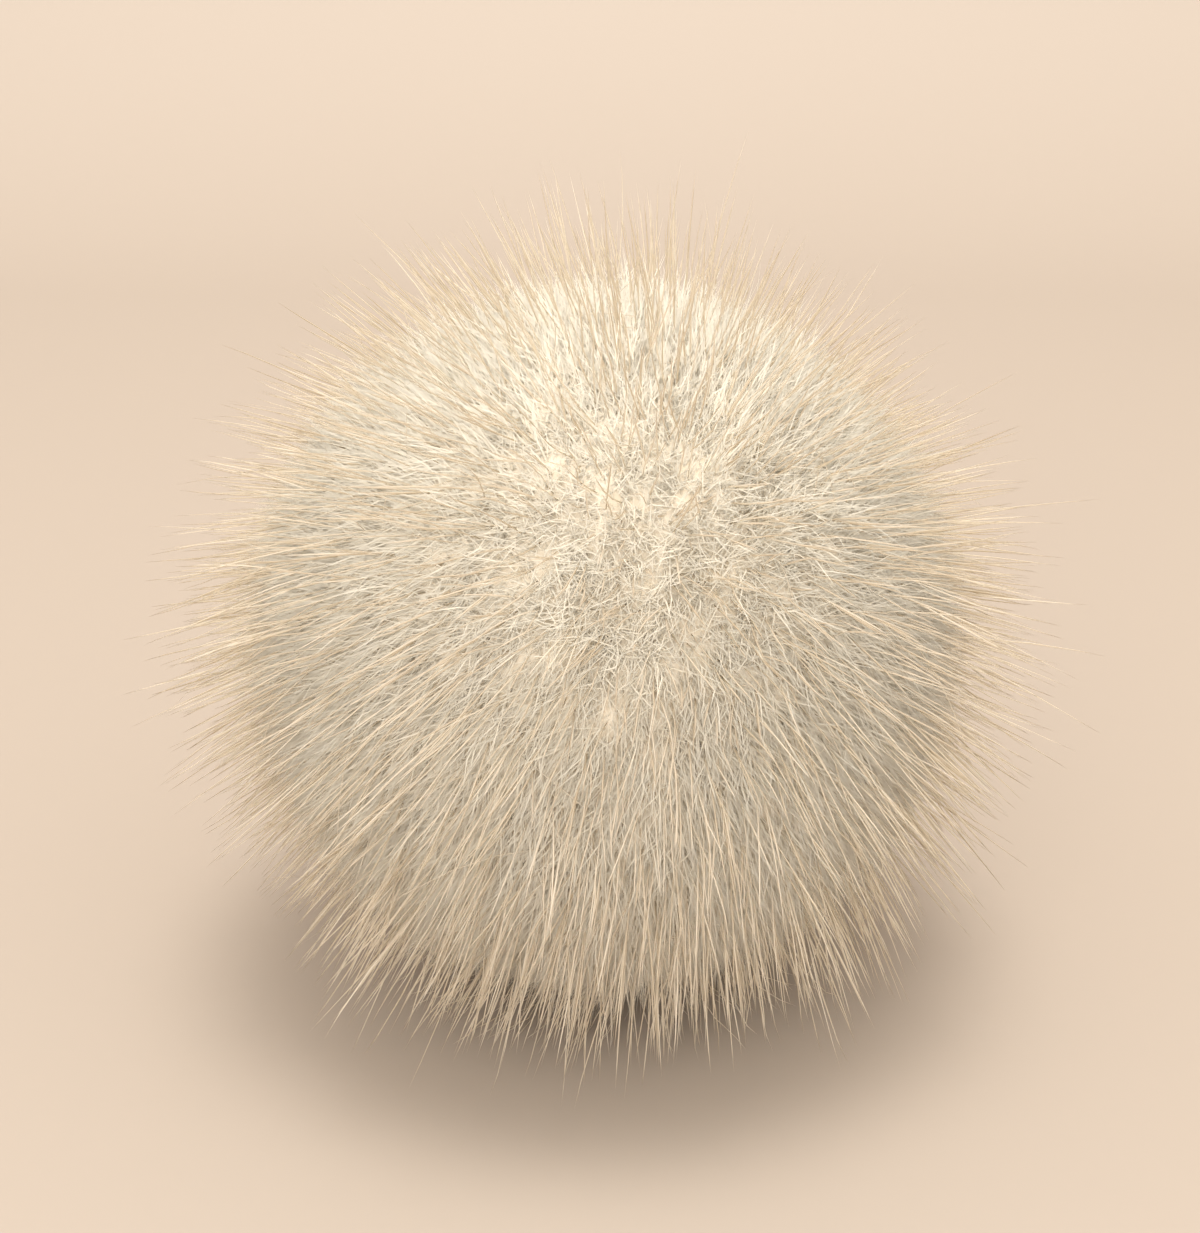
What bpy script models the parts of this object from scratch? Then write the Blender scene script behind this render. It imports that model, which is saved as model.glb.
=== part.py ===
"""Fur pom pom: one ball of fur, as far as its longest hairs reach, lying on a small flat spot.

Frame: metres, +Z up. The origin is the middle of the flat spot, on the surface that the ball lies on.
The front of the ball faces -Y, and +X is to its right as seen from the front.

The fur is sewn into a ball round one point, its heart, and stands out from there on all sides. The
outer form is therefore a sphere about the heart, made uneven by a few broad swells where the hair is
longer or stands up more, and by hollows where it is shorter. Its own weight presses the hair under it
flat: the ball ends in a level spot with a soft edge.
"""

import math
from typing import NamedTuple

import bmesh
import bpy
from mathutils import Vector

# Driving dimensions, in metres
PILE_RADIUS = 0.0370  # heart to hair ends, before the swells
HEART_HEIGHT = 0.0338  # heart above the surface
FOOT_BLEND = 0.0012  # height over which the side rounds into the flat spot

# Fineness of the surface
MERIDIANS = 80
PARALLELS = 44

# Finish
FUR_COLOUR = (0.72, 0.58, 0.42, 1.0)
FUR_ROUGHNESS = 0.85

COLLECTION_NAME = "pom_pom"
NODE_NAME = "fur_ball"


class Swell(NamedTuple):
    """A broad rise, or a hollow if it is negative, in the fur's outer form."""

    bearing: float  # degrees round the ball from +X, towards +Y
    rise: float  # degrees above the level of the heart
    height: float  # metres
    spread: float  # degrees from its middle to where it has died away to a third


SWELLS = (
    Swell(bearing=-90, rise=78, height=0.0013, spread=42),  # crown
    Swell(bearing=5, rise=38, height=0.0011, spread=28),  # right shoulder
    Swell(bearing=178, rise=42, height=0.0007, spread=28),  # left shoulder
    Swell(bearing=186, rise=-22, height=0.0009, spread=28),  # left flank, low
    Swell(bearing=2, rise=-3, height=-0.0006, spread=24),  # right side, level with the heart
    Swell(bearing=-62, rise=-30, height=0.0006, spread=26),  # front, low
    Swell(bearing=75, rise=12, height=0.0006, spread=34),  # back, right of the middle
    Swell(bearing=122, rise=-14, height=-0.0005, spread=30),  # back, left of the middle
)


def clear_scene() -> None:
    """Removes every object that the file opened with."""
    for scene_object in list(bpy.data.objects):
        bpy.data.objects.remove(scene_object, do_unlink=True)


def direction(bearing: float, rise: float) -> Vector:
    """The unit vector at this bearing and rise, both in degrees."""
    turn, lift = math.radians(bearing), math.radians(rise)
    return Vector((math.cos(lift) * math.cos(turn), math.cos(lift) * math.sin(turn), math.sin(lift)))


def reach(outward: Vector) -> float:
    """How far the hair reaches from the heart in a direction: the mean radius and each swell's share.

    A swell's share dies away as exp(-(angle / spread)^2), with the angle from its middle.
    """
    radius = PILE_RADIUS
    for swell in SWELLS:
        angle = math.degrees(outward.angle(direction(swell.bearing, swell.rise)))
        radius += swell.height * math.exp(-((angle / swell.spread) ** 2))
    return radius


def settled(height: float) -> float:
    """Height after the ball has lain down: none is below the surface, and the edge is rounded.

    The rounding is a parabola that meets the level spot at -FOOT_BLEND and the side at +FOOT_BLEND.
    """
    if height <= -FOOT_BLEND:
        return 0.0
    if height >= FOOT_BLEND:
        return height
    return (height + FOOT_BLEND) ** 2 / (4 * FOOT_BLEND)


def fur_material() -> bpy.types.Material:
    """Cream fur: a pale, dull surface."""
    material = bpy.data.materials.new("cream_fur")
    material.use_nodes = True
    shader = material.node_tree.nodes["Principled BSDF"]
    shader.inputs["Base Color"].default_value = FUR_COLOUR
    shader.inputs["Roughness"].default_value = FUR_ROUGHNESS
    shader.inputs["Metallic"].default_value = 0.0
    return material


def fur_ball(collection: bpy.types.Collection) -> bpy.types.Object:
    """The ball: a sphere about the heart, drawn out to the hair's reach and settled on its spot."""
    shape = bmesh.new()
    bmesh.ops.create_uvsphere(shape, u_segments=MERIDIANS, v_segments=PARALLELS, radius=1.0)
    for vertex in shape.verts:
        outward = vertex.co.normalized()
        place = outward * reach(outward)
        vertex.co = (place.x, place.y, settled(place.z + HEART_HEIGHT))
    bmesh.ops.recalc_face_normals(shape, faces=shape.faces)
    mesh = bpy.data.meshes.new(NODE_NAME)
    shape.to_mesh(mesh)
    shape.free()
    mesh.shade_smooth()
    mesh.materials.append(fur_material())
    ball = bpy.data.objects.new(NODE_NAME, mesh)
    collection.objects.link(ball)
    return ball


def main() -> None:
    """Builds the pom pom in a collection of its own."""
    clear_scene()
    collection = bpy.data.collections.new(COLLECTION_NAME)
    bpy.context.scene.collection.children.link(collection)
    fur_ball(collection)


main()
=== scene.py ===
"""Cream fur pom pom: soft, dense underfur with longer guard hairs standing through it.

Frame: metres, +Z up, the floor at zero and the front of the ball towards -Y. All fur grows from a
ball about one point, the heart. Its hairs stand out from the heart and lean away from one point on
the ball, the crown, where the hair parts. Hair is built as three-sided, tapering spines, joined by
the thousand into one mesh.

From the inside out the ball has a felted core, bent down hairs, short fleece that closes the surface,
long guard hairs and a few thin strays that cross them.
"""

import logging
import math
from dataclasses import dataclass, field
from enum import Enum

import bpy
import numpy as np
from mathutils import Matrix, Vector

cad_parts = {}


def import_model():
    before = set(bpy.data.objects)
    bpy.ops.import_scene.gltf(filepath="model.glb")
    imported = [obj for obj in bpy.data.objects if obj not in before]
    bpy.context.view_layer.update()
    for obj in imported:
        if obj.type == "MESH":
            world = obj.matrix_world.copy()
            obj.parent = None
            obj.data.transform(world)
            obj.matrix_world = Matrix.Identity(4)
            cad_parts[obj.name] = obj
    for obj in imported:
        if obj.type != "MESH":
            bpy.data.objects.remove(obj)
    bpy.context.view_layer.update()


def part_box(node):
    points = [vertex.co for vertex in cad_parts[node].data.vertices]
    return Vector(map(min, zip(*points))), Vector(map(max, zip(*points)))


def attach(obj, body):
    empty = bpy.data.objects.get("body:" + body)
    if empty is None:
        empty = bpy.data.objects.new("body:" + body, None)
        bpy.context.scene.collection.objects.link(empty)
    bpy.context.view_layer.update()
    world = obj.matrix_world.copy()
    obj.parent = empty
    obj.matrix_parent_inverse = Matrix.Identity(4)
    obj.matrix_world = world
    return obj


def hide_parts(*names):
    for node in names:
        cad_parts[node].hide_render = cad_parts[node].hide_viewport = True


CAD_NODE = "fur_ball"
BODY = "root"
HAIR_MAP = "OFBake"
SHADE_COLUMNS = 32  # columns of the hair map, one for each shade of hair
COLUMN_MARGIN = 0.1  # share of a column kept clear on each side
ROOT_CAP = 0.02  # height on the hair map of the face that closes a root
CORNERS = 3  # sides of a hair
MM = 0.001

CROWN = (0.43, 0.18, 0.88)  # the way from the heart to where the hair parts: right, back, up
CROWN_SHARE = 1.033  # heart to the highest hair ends, as a share of the pile's mean radius
UNDERFUR_SHARE = 0.84  # heart to the underfur's surface, as a share of the same

TUFT_STRAY = 0.5  # how far tufts lie from an even spread, as a share of the gap between them
TUFT_SCATTER = 0.6  # a tuft's scatter, as a share of its hairs'
TUFT_UNEVEN = 0.5  # spread of the tufts' lengths, as a share of their hairs'
SWELL = (0.05, 22 * MM)  # share by which the pile's length rises and falls, and its pitch
LENGTHS = (0.35, 1.8)  # shortest and longest hair, as a share of the mean
FLOW_BEND = 0.6  # how much of a hair's bow follows the flow
LEAST_LEAN = 0.1  # keeps the bow's share of the flow finite where hair stands upright
DRAW_SPREAD = (0.4, 1.0)  # least and greatest share of the draw that one hair feels
DRAW_POWER = 1.5  # how late along a hair the draw sets in
CLEARANCE = (0.1 * MM, 0.9 * MM)  # least and greatest height of pressed hair above the floor
PATCH_PITCH = 9 * MM  # distance between darker and paler patches
SHADE_MIX = (0.6, 0.5, 0.5)  # shares of a hair's own shade, its tuft's and its patch's
PATCH_HEIGHT = 0.5  # how strong the patches' own waves are
STOUT_SPREAD = (0.7, 1.2)  # thinnest and stoutest hair, as a share of the width
ROUGH_SPREAD = 0.12  # how much rougher the roughest shade of hair is than the smoothest
SHADE_ENDS = (0.001, 0.999)  # keep every shade inside the hair map's columns
WAVE_SPREAD = (0.7, 1.3)  # closest-set and widest-set waves: turns to a pitch
MIDDLE_RING = 2 * MM  # nearer than this to the ball's axis, pressed hair slides out less
CORE_DEPTH = 2.5 * MM  # from the underfur's surface down to the core
BOUNCES = 40  # times that light may pass from hair to hair

MIX_FACTOR, MIX_FIRST, MIX_SECOND, MIXED = 0, 6, 7, 2  # a Mix node's sockets for colours

Rgb = tuple[float, float, float]

LOG = logging.getLogger("pom_pom")


class HairKind(Enum):
    """The kinds of hair in the coat."""

    DOWN = "down"
    FLEECE = "fleece"
    GUARD = "guard"
    STRAY = "stray"


def unit(vectors: np.ndarray) -> np.ndarray:
    """Scales vectors to length one: v / |v|.

    Args:
        vectors: Any number of vectors, along the last axis.

    Returns:
        The same vectors at unit length.
    """
    return vectors / np.maximum(np.linalg.norm(vectors, axis=-1, keepdims=True), 1e-12)


def dots(first: np.ndarray, second: np.ndarray) -> np.ndarray:
    """Dot products along the last axis, which stays with length one.

    Args:
        first: Vectors.
        second: Vectors of a shape that goes with the first.

    Returns:
        Their dot products.
    """
    return (first * second).sum(-1, keepdims=True)


def waves(points: np.ndarray, pitch: float, seed: int, count: int = 14) -> np.ndarray:
    """Smooth, endless unevenness: the sum of plane sine waves in random directions.

    The value is sqrt(2 / count) * sum of sin(2 pi k.p / pitch + phase), so its spread is about one.

    Args:
        points: Places, in metres.
        pitch: Distance from one rise to the next, in metres.
        seed: Picks the waves.
        count: Number of waves.

    Returns:
        One value for each place.
    """
    rng = np.random.default_rng(seed)
    ways = unit(rng.normal(size=(count, 3))) * rng.uniform(*WAVE_SPREAD, (count, 1))
    phases = rng.uniform(0, 2 * math.pi, count)
    turns = points @ ways.T * (2 * math.pi / pitch) + phases
    return np.sin(turns).sum(-1) * math.sqrt(2 / count)


def spread_over_ball(count: int, rng: np.random.Generator, stray: float = 0.45) -> np.ndarray:
    """Directions spread evenly over a ball, each moved a little at random.

    They follow the golden spiral: heights in equal steps, each a golden angle on from the last.

    Args:
        count: Number of directions.
        rng: Source of the random moves.
        stray: How far each moves, as a share of the gap between neighbours.

    Returns:
        Unit vectors, shuffled.
    """
    steps = np.arange(count) + 0.5
    height = 1 - 2 * steps / count
    turn = steps * math.pi * (3 - math.sqrt(5))
    level = np.sqrt(1 - height**2)
    even = np.stack([level * np.cos(turn), level * np.sin(turn), height], -1)
    gap = math.sqrt(4 * math.pi / count)
    moved = unit(even + rng.normal(size=even.shape) * gap * stray)
    return moved[rng.permutation(count)]


def nearest(directions: np.ndarray, centres: np.ndarray, at_once: int = 4000) -> np.ndarray:
    """The centre that each direction lies closest to: the one with the largest dot product.

    Args:
        directions: Unit vectors.
        centres: Unit vectors to choose from.
        at_once: Number of directions compared in one product.

    Returns:
        An index into centres for each direction.
    """
    parts = range(0, len(directions), at_once)
    return np.concatenate([(directions[i : i + at_once] @ centres.T).argmax(1) for i in parts])


@dataclass(frozen=True)
class Ball:
    """Where the ball lies and how its hair flows.

    Attributes:
        heart: The point that all hair stands out from.
        underfur: Distance from the heart to the underfur's surface.
        crown: Direction of the point where the hair parts.
        lean: How strongly the hair leans away from the crown.
        rounding: Height over which hair bends from its own way to the floor's.
        splay: How far pressed hair slides outwards for each step that the floor lifts it.
    """

    heart: np.ndarray
    underfur: float
    crown: np.ndarray
    lean: float = 0.42
    rounding: float = 1.6 * MM
    splay: float = 0.55

    @classmethod
    def from_frame(cls) -> "Ball":
        """Reads the ball's place and size from the CAD node's box."""
        low, high = (np.array(corner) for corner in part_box(CAD_NODE))
        pile = (high - low)[:2].mean() / 2
        heart = np.array([0.0, 0.0, high[2] - CROWN_SHARE * pile])
        return cls(heart=heart, underfur=UNDERFUR_SHARE * pile, crown=unit(np.array(CROWN)))

    def flow(self, outward: np.ndarray) -> np.ndarray:
        """The way that hair points: outwards, plus lean times the way straight down from the crown.

        Args:
            outward: Unit vectors from the heart.

        Returns:
            Unit vectors along the hair.
        """
        down = dots(self.crown, outward) * outward - self.crown
        return unit(outward + self.lean * down)

    def settled(self, points: np.ndarray, clearance: np.ndarray) -> np.ndarray:
        """Lays points that would be under the floor on top of it, and slides them outwards.

        Height h above a hair's own clearance becomes (h + r)^2 / 4r between -r and r, and 0 below
        that, where r is the rounding. The slide is splay times the lift.

        Args:
            points: Places along hairs, (hairs, knots, 3).
            clearance: The least height of each hair above the floor, (hairs, 1).

        Returns:
            The settled places.
        """
        height = points[..., 2] - clearance
        rounded = (height.clip(-self.rounding, self.rounding) + self.rounding) ** 2
        settled = np.where(height > self.rounding, height, rounded / (4 * self.rounding))
        lift = settled - height
        away = points[..., :2] - self.heart[:2]
        away = away / np.maximum(np.linalg.norm(away, axis=-1, keepdims=True), MIDDLE_RING)
        moved = points.copy()
        moved[..., 2] += lift
        moved[..., :2] += away * (self.splay * lift)[..., None]
        return moved


@dataclass(frozen=True)
class Coat:
    """One kind of hair all over the ball.

    Attributes:
        kind: Which hair this is.
        pieces: Number of meshes that it is shared among.
        count: Number of hairs in each mesh.
        root: Distance from the heart to the roots.
        tip: Distance from the heart to the tips of an upright hair of mean length.
        uneven: Spread of the hairs' own lengths, as a share.
        width: Thickness at the stoutest place.
        knots: Stations along the hair, from the root at 0 to the tip at 1.
        stoutness: Thickness at each station but the tip, as a share of width.
        scatter: How far hairs stray from the flow, as a slope.
        bow: How far a hair bends on its way, as a slope.
        tuft: Distance between tufts, in which tips draw together.
        draw: How far tips draw together, from 0 to 1.
        shade: Mean and spread of the hairs' shade, from 0, dark, to 1, pale.
        soften: How far the hairs catch light as the ball's round would, from 0 to 1.
        seed: Picks all that is random.
    """

    kind: HairKind
    pieces: int
    count: int
    root: float
    tip: float
    uneven: float
    width: float
    knots: tuple[float, ...]
    stoutness: tuple[float, ...]
    scatter: float
    bow: float
    tuft: float
    draw: float
    shade: tuple[float, float]
    soften: float
    seed: int

    def tuft_centres(self, rng: np.random.Generator) -> np.ndarray:
        """Directions of the tufts, one tuft distance apart on the roots' ball."""
        return spread_over_ball(int(4 * math.pi * (self.root / self.tuft) ** 2), rng, TUFT_STRAY)

    def spines(self, ball: Ball, rng: np.random.Generator) -> tuple[np.ndarray, np.ndarray]:
        """Works out every hair's spine and its shade.

        A spine starts at the root and runs along p(t) = root + length (t way + bow t^2 bend). Then
        each point moves towards its tuft's own spine by draw t^1.5 of the gap, and settles. A hair's
        shade is its kind's mean, moved by its own chance, its tuft's and its patch's.

        Args:
            ball: The ball that the hair grows on.
            rng: Source of all that is random.

        Returns:
            Spines (hairs, knots, 3) and shades from 0 to 1 (hairs).
        """
        outward = spread_over_ball(self.count * self.pieces, rng)
        centres = self.tuft_centres(rng)
        tuft_of = nearest(outward, centres)
        number = len(outward)
        steps = np.array(self.knots)[None, :, None]

        tuft_shift = rng.normal(size=(len(centres), 3)) * self.scatter * TUFT_SCATTER
        tuft_way = unit(ball.flow(centres) + tuft_shift)
        tuft_length = 1 + rng.normal(size=(len(centres), 1)) * self.uneven * TUFT_UNEVEN
        way = unit(ball.flow(outward) + rng.normal(size=(number, 3)) * self.scatter)
        way = unit(way + tuft_shift[tuft_of])
        mean = self.tip - self.root
        swell = 1 + SWELL[0] * waves(outward * self.root, SWELL[1], self.seed)[:, None]
        own = rng.normal(size=(number, 1)) * self.uneven
        length = mean * (tuft_length[tuft_of] + own).clip(*LENGTHS) * swell

        bend = unit(np.cross(way, rng.normal(size=(number, 3))))
        bend = bend + FLOW_BEND * (ball.flow(outward) - outward) / max(ball.lean, LEAST_LEAN)
        root = ball.heart + outward * self.root
        spine = root[:, None] + length[:, None] * (
            steps * way[:, None] + self.bow * steps**2 * bend[:, None]
        )
        tuft_root = ball.heart + centres * self.root
        centre = tuft_root[tuft_of][:, None] + length[:, None] * steps * tuft_way[tuft_of][:, None]
        pull = self.draw * rng.uniform(*DRAW_SPREAD, (number, 1, 1)) * steps**DRAW_POWER
        spine = spine + (centre - spine) * pull
        clearance = rng.uniform(*CLEARANCE, (number, 1))
        spine = ball.settled(spine, clearance)

        patch = PATCH_HEIGHT * waves(outward * self.root, PATCH_PITCH, self.seed + 1)
        tuft_shade = rng.normal(size=len(centres))[tuft_of]
        by_hair, by_tuft, by_patch = SHADE_MIX
        mixed = by_hair * rng.normal(size=number) + by_tuft * tuft_shade + by_patch * patch
        shade = self.shade[0] + self.shade[1] * mixed
        return spine, shade.clip(*SHADE_ENDS)

    def meshes(self, ball: Ball) -> list[bpy.types.Object]:
        """Grows the coat and shares it among its meshes.

        Args:
            ball: The ball that the hair grows on.

        Returns:
            One object for each mesh.
        """
        rng = np.random.default_rng(self.seed)
        spines, shades = self.spines(ball, rng)
        stout = np.array(self.stoutness)[None] * rng.uniform(*STOUT_SPREAD, (len(spines), 1))
        radii = stout * self.width / 2
        made = []
        for part in range(self.pieces):
            share = slice(part * self.count, (part + 1) * self.count)
            name = f"{self.kind.value}_{part + 1}"
            mesh = hair_mesh(name, spines[share], radii[share], shades[share], rng)
            soften_light(mesh, ball.heart, self.soften)
            made.append(add_object(name, mesh))
        return made


def hair_mesh(
    name: str,
    spines: np.ndarray,
    radii: np.ndarray,
    shades: np.ndarray,
    rng: np.random.Generator,
) -> bpy.types.Mesh:
    """Joins three-sided hairs, each closed at the root and pointed at the tip, into one mesh.

    Corner j of the ring at knot k lies at spine_k + radius_k (cos a_j side_k + sin a_j up_k), with
    a_j a third of a turn apart. side and up stand square to the spine there.

    Args:
        name: The mesh's name.
        spines: Knots of each hair, (hairs, knots, 3).
        radii: Radius at each knot but the tip, (hairs, knots - 1).
        shades: Each hair's shade from 0 to 1, (hairs).
        rng: Turns each hair about its spine at random.

    Returns:
        The mesh, with the map that its finish reads: across by shade, up from root to tip.
    """
    number, knots = spines.shape[:2]
    rings = knots - 1
    along = unit(np.gradient(spines, axis=1))[:, :rings]
    side = np.cross(along[:, 0], rng.normal(size=(number, 3)))[:, None]
    side = unit(side - dots(side, along) * along)
    up = np.cross(along, side)
    angles = np.arange(CORNERS) * (2 * math.pi / CORNERS)
    wheel = (
        np.cos(angles)[:, None] * side[:, :, None] + np.sin(angles)[:, None] * up[:, :, None]
    )
    corners = spines[:, :rings, None] + radii[:, :, None, None] * wheel
    places = np.concatenate([corners.reshape(number, -1, 3), spines[:, -1:]], 1)

    loops, starts, flat = hair_pattern(rings)
    each = rings * CORNERS + 1
    all_loops = loops[None] + (np.arange(number) * each)[:, None]
    all_starts = starts[None] + (np.arange(number) * len(loops))[:, None]
    column = np.floor(shades * SHADE_COLUMNS)
    within = COLUMN_MARGIN + (1 - 2 * COLUMN_MARGIN) * flat[None, :, 0]
    across = (column[:, None] + within) / SHADE_COLUMNS
    upward = np.broadcast_to(flat[None, :, 1], across.shape)

    mesh = bpy.data.meshes.new(name)
    mesh.vertices.add(number * each)
    mesh.vertices.foreach_set("co", places.astype(np.float32).ravel())
    mesh.loops.add(all_loops.size)
    mesh.loops.foreach_set("vertex_index", all_loops.astype(np.int32).ravel())
    mesh.polygons.add(all_starts.size)
    mesh.polygons.foreach_set("loop_start", all_starts.astype(np.int32).ravel())
    mesh.update(calc_edges=True)
    layer = mesh.uv_layers.new(name=HAIR_MAP)
    layer.uv.foreach_set("vector", np.stack([across, upward], -1).astype(np.float32).ravel())
    mesh.shade_smooth()
    return mesh


def soften_light(mesh: bpy.types.Mesh, heart: np.ndarray, share: float) -> None:
    """Turns the normals that light falls on towards the ball's own: unit((1 - share) n + share o).

    Args:
        mesh: The hairs.
        heart: The point that o, the way outwards, is measured from.
        share: How far the normals turn, from 0 to 1.
    """
    places = np.empty(len(mesh.vertices) * 3, np.float32)
    mesh.vertices.foreach_get("co", places)
    own = np.empty(len(mesh.vertices) * 3, np.float32)
    mesh.vertex_normals.foreach_get("vector", own)
    outward = unit(places.reshape(-1, 3) - heart)
    turned = unit((1 - share) * own.reshape(-1, 3) + share * outward)
    mesh.normals_split_custom_set_from_vertices(turned.astype(np.float32))


def hair_pattern(rings: int) -> tuple[np.ndarray, np.ndarray, np.ndarray]:
    """The faces of one hair: sides between rings, a pointed tip and a closed root.

    Args:
        rings: Number of rings.

    Returns:
        The vertex at each face corner, where each face starts among them, and each face corner's
        place on the map, with both ways from 0 to 1.
    """
    loops, starts, flat = [], [], []
    tip = rings * CORNERS
    for ring in range(rings):
        for side in range(CORNERS):
            after = (side + 1) % CORNERS
            low, high = side / CORNERS, (side + 1) / CORNERS
            here, there = ring / rings, (ring + 1) / rings
            starts.append(len(loops))
            loops += [ring * CORNERS + side, ring * CORNERS + after]
            flat += [(low, here), (high, here)]
            if ring < rings - 1:
                loops += [(ring + 1) * CORNERS + after, (ring + 1) * CORNERS + side]
                flat += [(high, there), (low, there)]
            else:
                loops.append(tip)
                flat.append(((low + high) / 2, there))
    starts.append(len(loops))
    loops += [0, 2, 1]
    flat += [(0.0, 0.0), (1.0, 0.0), (0.5, ROOT_CAP)]
    return np.array(loops), np.array(starts), np.array(flat)


def add_object(name: str, mesh: bpy.types.Mesh) -> bpy.types.Object:
    """Puts a mesh in the scene under its name, at the origin."""
    made = bpy.data.objects.new(name, mesh)
    bpy.context.scene.collection.objects.link(made)
    return made


def grid_mesh(name: str, points: np.ndarray) -> bpy.types.Mesh:
    """Closes a grid of points that runs round in columns, with one point at each pole.

    Args:
        name: The mesh's name.
        points: Rows from the lower pole to the upper one, (rows, columns, 3). The first and last
            rows each hold their pole at every column.

    Returns:
        A closed mesh of quads, with a fan at each pole, faces outwards.
    """
    rows, columns = points.shape[:2]
    inner = points[1:-1].reshape(-1, 3)
    places = np.concatenate([points[:1, 0], inner, points[-1:, 0]])
    index = 1 + np.arange((rows - 2) * columns).reshape(rows - 2, columns)
    beside = np.roll(index, -1, axis=1)
    quads = np.stack([index[:-1], beside[:-1], beside[1:], index[1:]], -1).reshape(-1, 4)
    low = np.stack([np.zeros(columns, int), beside[0], index[0]], -1)
    high = np.stack([np.full(columns, len(places) - 1), index[-1], beside[-1]], -1)
    loops = np.concatenate([quads.ravel(), low.ravel(), high.ravel()])
    sizes = np.concatenate([np.full(len(quads), 4), np.full(2 * columns, 3)])
    starts = np.concatenate([[0], np.cumsum(sizes)[:-1]])
    mesh = bpy.data.meshes.new(name)
    mesh.vertices.add(len(places))
    mesh.vertices.foreach_set("co", places.astype(np.float32).ravel())
    mesh.loops.add(len(loops))
    mesh.loops.foreach_set("vertex_index", loops.astype(np.int32))
    mesh.polygons.add(len(starts))
    mesh.polygons.foreach_set("loop_start", starts.astype(np.int32))
    mesh.update(calc_edges=True)
    mesh.shade_smooth()
    return mesh


@dataclass
class Core:
    """The felted heart of the ball, which shows only as the depth between hairs, coloured in painted
    shade.

    Attributes:
        radius: Its mean radius.
        rows: Rows of the grid.
        columns: Columns of the grid.
        broad: Height and pitch of its broad unevenness.
        fine: Height and pitch of its fine unevenness.
        seeds: Pick the broad and the fine unevenness.
        clearance: Its least height above the floor.
    """

    radius: float
    rows: int = 90
    columns: int = 180
    broad: tuple[float, float] = (0.15 * MM, 7 * MM)
    fine: tuple[float, float] = (0.12 * MM, 3 * MM)
    seeds: tuple[int, int] = (5, 6)
    clearance: float = 1.2 * MM

    def build(self, ball: Ball) -> bpy.types.Object:
        """A ball r(direction) = radius + broad and fine unevenness, settled like the hair.

        Args:
            ball: Where the ball lies.

        Returns:
            The core.
        """
        rise = np.linspace(-math.pi / 2, math.pi / 2, self.rows)[:, None]
        turn = np.arange(self.columns)[None] * (2 * math.pi / self.columns)
        level = np.cos(rise)
        level[[0, -1]] = 0.0
        outward = np.stack(
            [level * np.cos(turn), level * np.sin(turn), np.sin(rise) + 0 * turn], -1
        )
        uneven = self.broad[0] * waves(outward * self.radius, self.broad[1], self.seeds[0])
        uneven = uneven + self.fine[0] * waves(outward * self.radius, self.fine[1], self.seeds[1])
        points = ball.heart + outward * (self.radius + uneven)[..., None]
        points = ball.settled(points, np.full((self.rows, 1), self.clearance))
        return add_object("core", grid_mesh("core", points))


def group(name: str, inputs: dict[str, str], outputs: dict[str, str]) -> bpy.types.NodeTree:
    """Starts a shader node group with named sockets.

    Args:
        name: The group's name.
        inputs: Socket type for each input's name.
        outputs: Socket type for each output's name.

    Returns:
        The group, with its input and output nodes.
    """
    tree = bpy.data.node_groups.new(name, "ShaderNodeTree")
    for label, kind in inputs.items():
        tree.interface.new_socket(label, in_out="INPUT", socket_type=kind)
    for label, kind in outputs.items():
        tree.interface.new_socket(label, in_out="OUTPUT", socket_type=kind)
    tree.nodes.new("NodeGroupInput").name = "In"
    tree.nodes.new("NodeGroupOutput").name = "Out"
    return tree


def math_node(
    tree: bpy.types.NodeTree,
    operation: str,
    first: bpy.types.NodeSocket | float,
    second: bpy.types.NodeSocket | float = 0.0,
    third: bpy.types.NodeSocket | float = 0.0,
) -> bpy.types.NodeSocket:
    """Adds a Math node.

    Args:
        tree: Where it goes.
        operation: Blender's name for what it does.
        first: A socket or a number.
        second: A socket or a number.
        third: A socket or a number, for the operations that take three.

    Returns:
        Its result.
    """
    node = tree.nodes.new("ShaderNodeMath")
    node.operation = operation
    for socket, value in zip(node.inputs, (first, second, third)):
        if isinstance(value, bpy.types.NodeSocket):
            tree.links.new(value, socket)
        else:
            socket.default_value = value
    return node.outputs[0]


def mix_node(
    tree: bpy.types.NodeTree,
    blend: str,
    factor: bpy.types.NodeSocket | float,
    first: bpy.types.NodeSocket,
    second: bpy.types.NodeSocket,
) -> bpy.types.NodeSocket:
    """Adds a colour Mix node.

    Args:
        tree: Where it goes.
        blend: Blender's name for how it mixes.
        factor: A socket or a number.
        first: The colour at factor 0.
        second: The colour at factor 1.

    Returns:
        The mixed colour.
    """
    node = tree.nodes.new("ShaderNodeMix")
    node.data_type = "RGBA"
    node.blend_type = blend
    if isinstance(factor, bpy.types.NodeSocket):
        tree.links.new(factor, node.inputs[MIX_FACTOR])
    else:
        node.inputs[MIX_FACTOR].default_value = factor
    tree.links.new(first, node.inputs[MIX_FIRST])
    tree.links.new(second, node.inputs[MIX_SECOND])
    return node.outputs[MIXED]


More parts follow.
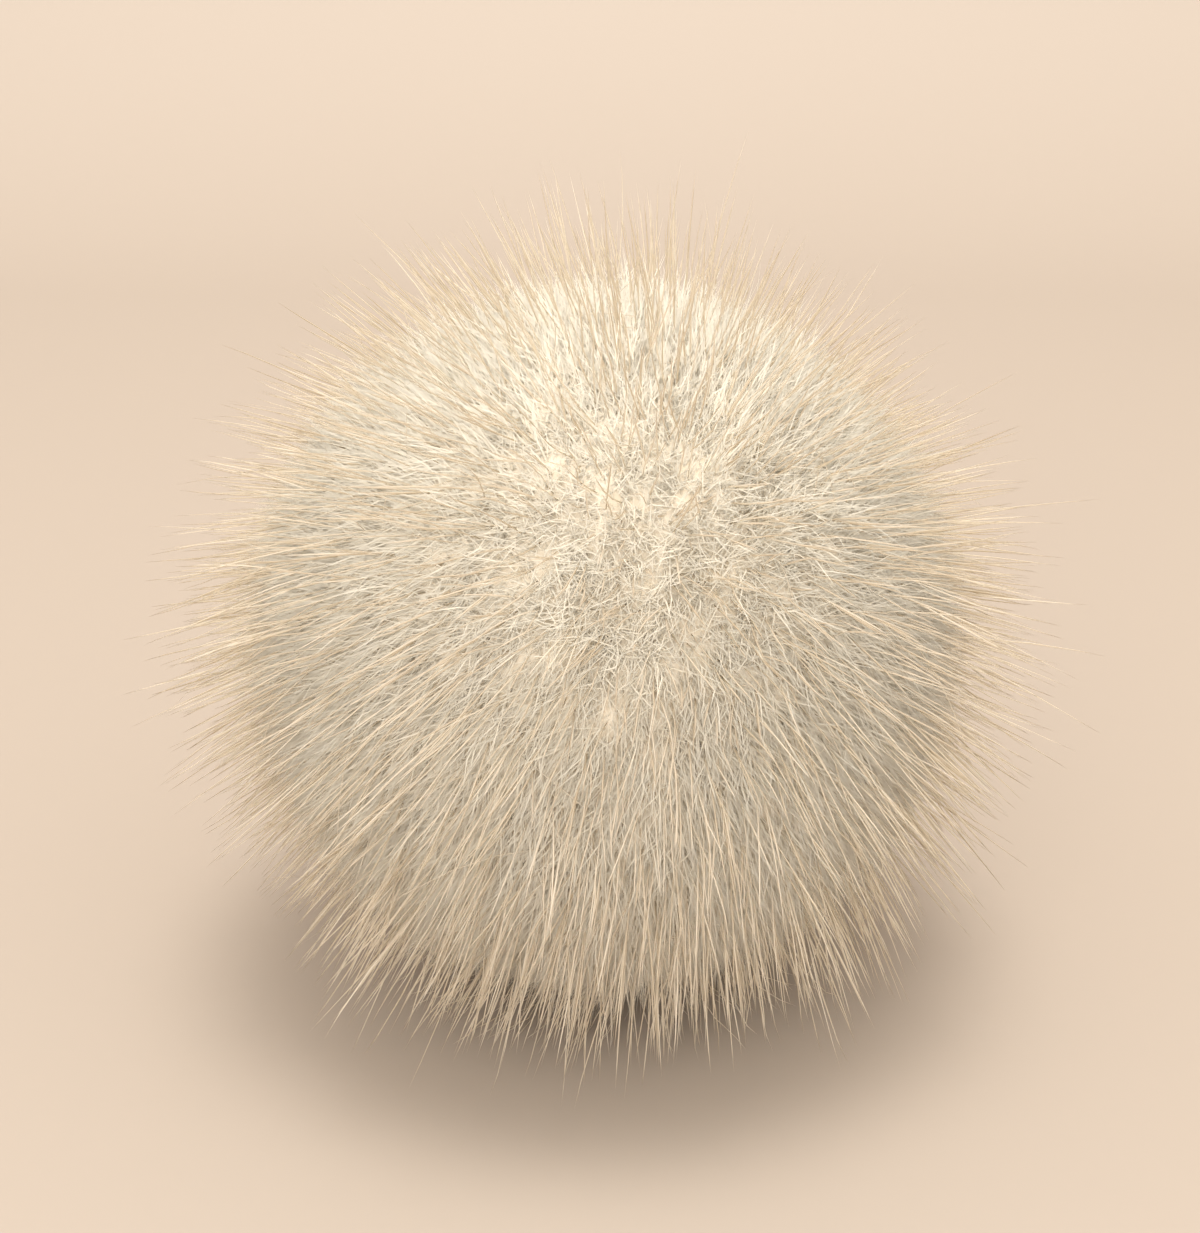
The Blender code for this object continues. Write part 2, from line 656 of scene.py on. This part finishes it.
def hair_shade_group() -> bpy.types.NodeTree:
    """Colour of a hair: root to tip by the map's height, dark to pale by its column.

    Returns:
        The group: Map, Root, Middle, Tip, Dark, Pale and Rough in, Colour and Roughness out.
    """
    name = "Hair shade"
    if name in bpy.data.node_groups:
        return bpy.data.node_groups[name]
    colour, vector, number = "NodeSocketColor", "NodeSocketVector", "NodeSocketFloat"
    tree = group(
        name,
        {
            "Map": vector,
            "Root": colour,
            "Middle": colour,
            "Tip": colour,
            "Dark": colour,
            "Pale": colour,
            "Rough": number,
        },
        {"Colour": colour, "Roughness": number},
    )
    given, out = tree.nodes["In"].outputs, tree.nodes["Out"].inputs
    split = tree.nodes.new("ShaderNodeSeparateXYZ")
    tree.links.new(given["Map"], split.inputs[0])
    across, upward = split.outputs[0], split.outputs[1]
    column = math_node(tree, "FLOOR", math_node(tree, "MULTIPLY", across, SHADE_COLUMNS))
    shade = math_node(tree, "DIVIDE", column, SHADE_COLUMNS - 1)
    doubled = math_node(tree, "MULTIPLY", upward, 2.0)
    lower = math_node(tree, "MINIMUM", doubled, 1.0)
    upper = math_node(tree, "MAXIMUM", math_node(tree, "SUBTRACT", doubled, 1.0), 0.0)
    body = mix_node(tree, "MIX", lower, given["Root"], given["Middle"])
    body = mix_node(tree, "MIX", upper, body, given["Tip"])
    tint = mix_node(tree, "MIX", shade, given["Dark"], given["Pale"])
    tree.links.new(mix_node(tree, "MULTIPLY", 1.0, body, tint), out["Colour"])
    own = tree.nodes.new("ShaderNodeTexWhiteNoise")
    own.noise_dimensions = "1D"
    tree.links.new(column, own.inputs["W"])
    rough = math_node(tree, "MULTIPLY_ADD", own.outputs["Value"], ROUGH_SPREAD, given["Rough"])
    tree.links.new(rough, out["Roughness"])
    return tree


@dataclass(frozen=True)
class HairFinish:
    """How one kind of hair looks.

    Attributes:
        name: The material's name.
        root: Colour at the root.
        middle: Colour halfway.
        tip: Colour at the tip.
        dark: Tint of the darkest hairs.
        pale: Tint of the palest hairs.
        rough: Least roughness.
        clear: Share of light that passes through a hair.
        gloss: Strength of the highlight.
    """

    name: str
    root: Rgb
    middle: Rgb
    tip: Rgb
    dark: Rgb
    pale: Rgb
    rough: float
    clear: float
    gloss: float = 0.4

    def material(self) -> bpy.types.Material:
        """Makes the material: shaded hair, with some light passing through.

        Returns:
            The material.
        """
        made = bpy.data.materials.new(self.name)
        made.use_nodes = True
        tree = made.node_tree
        shader = tree.nodes["Principled BSDF"]
        shader.inputs["Specular IOR Level"].default_value = self.gloss
        place = tree.nodes.new("ShaderNodeUVMap")
        place.uv_map = HAIR_MAP
        shade = tree.nodes.new("ShaderNodeGroup")
        shade.node_tree = hair_shade_group()
        tree.links.new(place.outputs[0], shade.inputs["Map"])
        for label in ("Root", "Middle", "Tip", "Dark", "Pale"):
            shade.inputs[label].default_value = (*getattr(self, label.lower()), 1.0)
        shade.inputs["Rough"].default_value = self.rough
        tree.links.new(shade.outputs["Colour"], shader.inputs["Base Color"])
        tree.links.new(shade.outputs["Roughness"], shader.inputs["Roughness"])
        through = tree.nodes.new("ShaderNodeBsdfTranslucent")
        tree.links.new(shade.outputs["Colour"], through.inputs["Color"])
        both = tree.nodes.new("ShaderNodeMixShader")
        both.inputs[0].default_value = self.clear
        tree.links.new(shader.outputs[0], both.inputs[1])
        tree.links.new(through.outputs[0], both.inputs[2])
        tree.links.new(both.outputs[0], tree.nodes["Material Output"].inputs["Surface"])
        return made


@dataclass(frozen=True)
class ShadedFeltFinish:
    """The core's finish: matted fibre in painted shade, darker than the hair for the depth between
    hairs and darker still in its hollows.

    Attributes:
        shaded_deep: Colour of the hollows, painted shade.
        shaded_raised: Colour of the rises, also darkened as painted shade of the depth between hairs.
        grain: Fibre clumps to a metre.
        detail: Levels of ever finer fibre.
        levels: The noise at which the hollows' and the rises' colours are reached.
        rough: Least roughness, and how much rougher the rises are.
        bump: Strength and height of the bump.
    """

    # painted shade: both colours sit darker than the hair to stand for the depth between hairs
    shaded_deep: Rgb = (0.86, 0.76, 0.61)
    shaded_raised: Rgb = (0.92, 0.84, 0.71)
    grain: float = 420.0
    detail: float = 5.0
    levels: tuple[float, float] = (0.3, 0.7)
    rough: tuple[float, float] = (0.72, 0.2)
    bump: tuple[float, float] = (0.5, 0.3 * MM)

    def material(self) -> bpy.types.Material:
        """Makes the material: mottled colour with painted shade in its hollows, uneven roughness and
        a fibrous bump.

        Returns:
            The material.
        """
        made = bpy.data.materials.new("felted_core_painted_shade")
        made.use_nodes = True
        tree = made.node_tree
        shader = tree.nodes["Principled BSDF"]
        place = tree.nodes.new("ShaderNodeTexCoord").outputs["Object"]
        noise = tree.nodes.new("ShaderNodeTexNoise")
        noise.inputs["Scale"].default_value = self.grain
        noise.inputs["Detail"].default_value = self.detail
        tree.links.new(place, noise.inputs["Vector"])
        ramp = tree.nodes.new("ShaderNodeValToRGB")
        stops = zip(ramp.color_ramp.elements, (self.shaded_deep, self.shaded_raised), self.levels)
        for stop, colour, level in stops:
            stop.color = (*colour, 1.0)
            stop.position = level
        # painted shade: the noise that lifts the bump also darkens its hollows
        tree.links.new(noise.outputs[0], ramp.inputs[0])
        tree.links.new(ramp.outputs[0], shader.inputs["Base Color"])
        rough = math_node(tree, "MULTIPLY_ADD", noise.outputs[0], self.rough[1], self.rough[0])
        tree.links.new(rough, shader.inputs["Roughness"])
        bump = tree.nodes.new("ShaderNodeBump")
        bump.inputs["Strength"].default_value = self.bump[0]
        bump.inputs["Distance"].default_value = self.bump[1]
        tree.links.new(noise.outputs[0], bump.inputs["Height"])
        tree.links.new(bump.outputs[0], shader.inputs["Normal"])
        return made


DOWN_FINISH = HairFinish(
    name="down_hair",
    root=(0.97, 0.875, 0.71),
    middle=(0.996, 0.932, 0.795),
    tip=(0.999, 0.946, 0.83),
    dark=(0.965, 0.95, 0.92),
    pale=(1.0, 1.0, 1.0),
    rough=0.62,
    clear=0.2,
)
GUARD_FINISH = HairFinish(
    name="guard_hair",
    root=(0.95, 0.89, 0.78),
    middle=(0.93, 0.86, 0.74),
    tip=(0.87, 0.79, 0.67),
    dark=(0.82, 0.78, 0.71),
    pale=(1.0, 1.0, 1.0),
    rough=0.3,
    clear=0.5,
)


@dataclass
class PomPom:
    """The whole ball of fur.

    Attributes:
        ball: Where it lies and how its hair flows.
        coats: The kinds of hair, with their finishes.
    """

    ball: Ball
    coats: list[tuple[Coat, HairFinish]] = field(default_factory=list)

    def plan(self) -> None:
        """Sets out the coats from the ball's size."""
        surface = self.ball.underfur
        self.coats = [
            (
                Coat(
                    kind=HairKind.DOWN, pieces=2, count=17000, root=surface - 4.0 * MM,
                    tip=surface + 1.5 * MM, uneven=0.2, width=0.16 * MM, knots=(0.0, 0.55, 1.0),
                    stoutness=(1.0, 0.7), scatter=0.3, bow=0.3, tuft=1.1 * MM, draw=0.12,
                    shade=(0.5, 0.25), soften=0.7, seed=11,
                ),
                DOWN_FINISH,
            ),
            (
                Coat(
                    kind=HairKind.FLEECE, pieces=3, count=37000, root=surface - 2.9 * MM,
                    tip=surface + 0.5 * MM, uneven=0.24, width=0.18 * MM, knots=(0.0, 1.0),
                    stoutness=(1.0,), scatter=0.38, bow=0.0, tuft=1.2 * MM, draw=0.1,
                    shade=(0.6, 0.2), soften=0.75, seed=12,
                ),
                DOWN_FINISH,
            ),
            (
                Coat(
                    kind=HairKind.GUARD, pieces=1, count=5600, root=surface - 3.0 * MM,
                    tip=surface + 7.2 * MM, uneven=0.2, width=0.15 * MM,
                    knots=(0.0, 0.3, 0.6, 0.85, 1.0), stoutness=(0.6, 0.95, 1.0, 0.6),
                    scatter=0.14, bow=0.06, tuft=2.1 * MM, draw=0.5, shade=(0.5, 0.3),
                    soften=0.1, seed=13,
                ),
                GUARD_FINISH,
            ),
            (
                Coat(
                    kind=HairKind.STRAY, pieces=1, count=260, root=surface - 1.5 * MM,
                    tip=surface + 6.5 * MM, uneven=0.3, width=0.08 * MM,
                    knots=(0.0, 0.2, 0.4, 0.6, 0.8, 1.0), stoutness=(0.8, 1.0, 1.0, 0.9, 0.7),
                    scatter=0.75, bow=0.45, tuft=2.1 * MM, draw=0.0, shade=(0.7, 0.2),
                    soften=0.0, seed=14,
                ),
                GUARD_FINISH,
            ),
        ]

    def build(self) -> list[bpy.types.Object]:
        """Builds the core and every coat, dresses them and joins them to the frame.

        Returns:
            Every piece.
        """
        self.plan()
        core = Core(radius=self.ball.underfur - CORE_DEPTH).build(self.ball)
        # the core's colours are painted shade of the depth between hairs
        core.data.materials.append(ShadedFeltFinish().material())
        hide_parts(CAD_NODE)
        pieces = [core]
        finishes: dict[str, bpy.types.Material] = {}
        for coat, finish in self.coats:
            if finish.name not in finishes:
                finishes[finish.name] = finish.material()
            for piece in coat.meshes(self.ball):
                piece.data.materials.append(finishes[finish.name])
                pieces.append(piece)
        for piece in pieces:
            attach(piece, BODY)
        return pieces


@dataclass(frozen=True)
class Lamp:
    """A round light that faces the ball.

    Attributes:
        name: Its name.
        place: Where it is.
        size: Its diameter, in metres.
        power: Its power, in watts.
    """

    name: str
    place: tuple[float, float, float]
    size: float
    power: float


KEY = Lamp(name="key", place=(0.03, -0.08, 1.30), size=0.55, power=11.0)
FILL = Lamp(name="fill", place=(-0.25, -1.30, 0.85), size=1.20, power=13.0)


@dataclass
class Studio:
    """The floor, lights and camera.

    Attributes:
        heart: What the camera and lights look at.
        elevation: The camera's height above the horizon, in degrees.
        distance: From the camera to the heart.
        lens: The camera's focal length on a 36 mm sensor, in millimetres.
        aim: How far right of and above the heart the camera points.
        closest: Nothing closer than this to the camera shows.
        width: Half the floor's width.
        near: Where the floor ends, behind the camera.
        far: Where the floor starts to turn up.
        bend: Radius of the turn.
        steps: Lines across the turn.
        top: Height of the floor's upright part.
        paint: The floor's colour.
        dull: The floor's roughness.
        lamp_tint: Colour of the lamps.
        room_tint: Colour of the light from all round.
        room_strength: Strength of the light from all round.
    """

    heart: Vector
    elevation: float = 23.0
    distance: float = 0.200
    lens: float = 64.2
    aim: tuple[float, float] = (-0.45 * MM, 1.7 * MM)
    closest: float = 0.01
    width: float = 1.5
    near: float = -1.0
    far: float = 0.25
    bend: float = 0.15
    steps: int = 13
    top: float = 1.0
    paint: Rgb = (0.42, 0.355, 0.295)
    dull: float = 0.6
    lamp_tint: Rgb = (1.0, 0.97, 0.93)
    room_tint: Rgb = (1.0, 0.95, 0.89)
    room_strength: float = 1.25

    def floor(self) -> bpy.types.Object:
        """A plain, pale floor whose far side turns up: a quarter round of radius bend.

        Returns:
            The floor.
        """
        across = np.linspace(-self.width, self.width, 2)
        turn = np.linspace(0.0, math.pi / 2, self.steps)
        wall = [self.far + self.bend]
        along = np.concatenate([[self.near], self.far + self.bend * np.sin(turn), wall])
        rise = np.concatenate([[0.0], self.bend * (1 - np.cos(turn)), [self.top]])
        points = np.stack(np.broadcast_arrays(across[:, None], along, rise), -1)
        index = np.arange(2 * len(along)).reshape(2, len(along))
        quads = np.stack([index[0, :-1], index[1, :-1], index[1, 1:], index[0, 1:]], -1)
        mesh = bpy.data.meshes.new("floor")
        mesh.from_pydata(points.reshape(-1, 3).tolist(), [], quads.tolist())
        mesh.shade_smooth()
        made = bpy.data.materials.new("floor_paint")
        made.use_nodes = True
        shader = made.node_tree.nodes["Principled BSDF"]
        shader.inputs["Base Color"].default_value = (*self.paint, 1.0)
        shader.inputs["Roughness"].default_value = self.dull
        mesh.materials.append(made)
        return add_object("floor", mesh)

    def light(self, lamp: Lamp) -> None:
        """Hangs a lamp, turned to face the heart."""
        disc = bpy.data.lights.new(lamp.name, "AREA")
        disc.shape = "DISK"
        disc.size = lamp.size
        disc.energy = lamp.power
        disc.color = self.lamp_tint
        made = bpy.data.objects.new(lamp.name, disc)
        made.location = lamp.place
        facing = self.heart - Vector(lamp.place)
        made.rotation_euler = facing.to_track_quat("-Z", "Y").to_euler()
        bpy.context.scene.collection.objects.link(made)

    def camera(self) -> None:
        """Puts the camera in front of the ball, looking a little down."""
        tilt = math.radians(self.elevation)
        back = Vector((0.0, -math.cos(tilt), math.sin(tilt)))
        upward = Vector((0.0, math.sin(tilt), math.cos(tilt)))
        target = self.heart + Vector((self.aim[0], 0.0, 0.0)) + upward * self.aim[1]
        lens = bpy.data.cameras.new("camera")
        lens.lens = self.lens
        lens.clip_start = self.closest
        made = bpy.data.objects.new("camera", lens)
        made.location = target + back * self.distance
        made.rotation_euler = (-back).to_track_quat("-Z", "Y").to_euler()
        bpy.context.scene.collection.objects.link(made)
        bpy.context.scene.camera = made

    def build(self) -> None:
        """Sets up the whole studio.

        Light goes from hair to hair many times in pale fur, so the bounces are many.
        """
        self.floor()
        for lamp in (KEY, FILL):
            self.light(lamp)
        world = bpy.data.worlds.new("room_light")
        world.use_nodes = True
        sky = world.node_tree.nodes["Background"]
        sky.inputs["Color"].default_value = (*self.room_tint, 1.0)
        sky.inputs["Strength"].default_value = self.room_strength
        scene = bpy.context.scene
        scene.world = world
        scene.view_settings.view_transform = "Standard"
        scene.cycles.max_bounces = BOUNCES
        scene.cycles.diffuse_bounces = BOUNCES // 2
        scene.cycles.transmission_bounces = BOUNCES
        self.camera()


def main() -> None:
    """Builds the pom pom and its studio."""
    logging.basicConfig(level=logging.INFO, format="%(name)s: %(message)s")
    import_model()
    ball = Ball.from_frame()
    for piece in PomPom(ball).build():
        triangles = len(piece.data.loops) - 2 * len(piece.data.polygons)
        LOG.info("%s: %d triangles", piece.name, triangles)
    Studio(Vector(ball.heart)).build()


if __name__ == "__main__":
    main()
